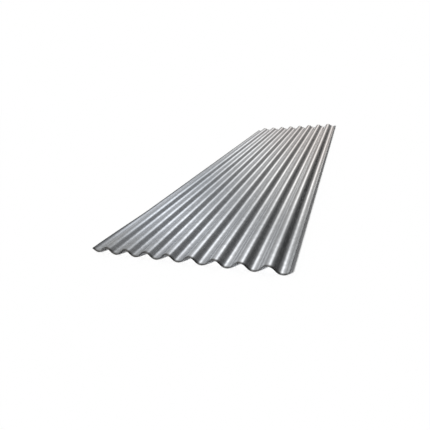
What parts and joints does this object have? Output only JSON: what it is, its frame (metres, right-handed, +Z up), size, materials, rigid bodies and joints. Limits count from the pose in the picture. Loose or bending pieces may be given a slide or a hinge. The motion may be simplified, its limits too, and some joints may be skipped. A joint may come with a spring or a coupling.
{
  "type": "corrugated metal sheet",
  "caption": "Long rectangular galvanised steel sheet roll-formed into round lengthwise waves, both long edges turned up for side laps, for roofs, walls and fences.",
  "frame": {"origin": "middle of the sheet's length and width, on the level that the valleys' undersides lie on", "axes": "+Y along the waves, +X across them, +Z up, square to the sheet"},
  "size_m": [0.644, 2.134, 0.022],
  "materials": {
    "galvanised_steel": "hot-dip galvanised, satin, with a fine spangle and faint streaks along the waves"
  },
  "bodies": {
    "root": {"corrugated_sheet": "galvanised_steel"}
  },
  "joints": []
}
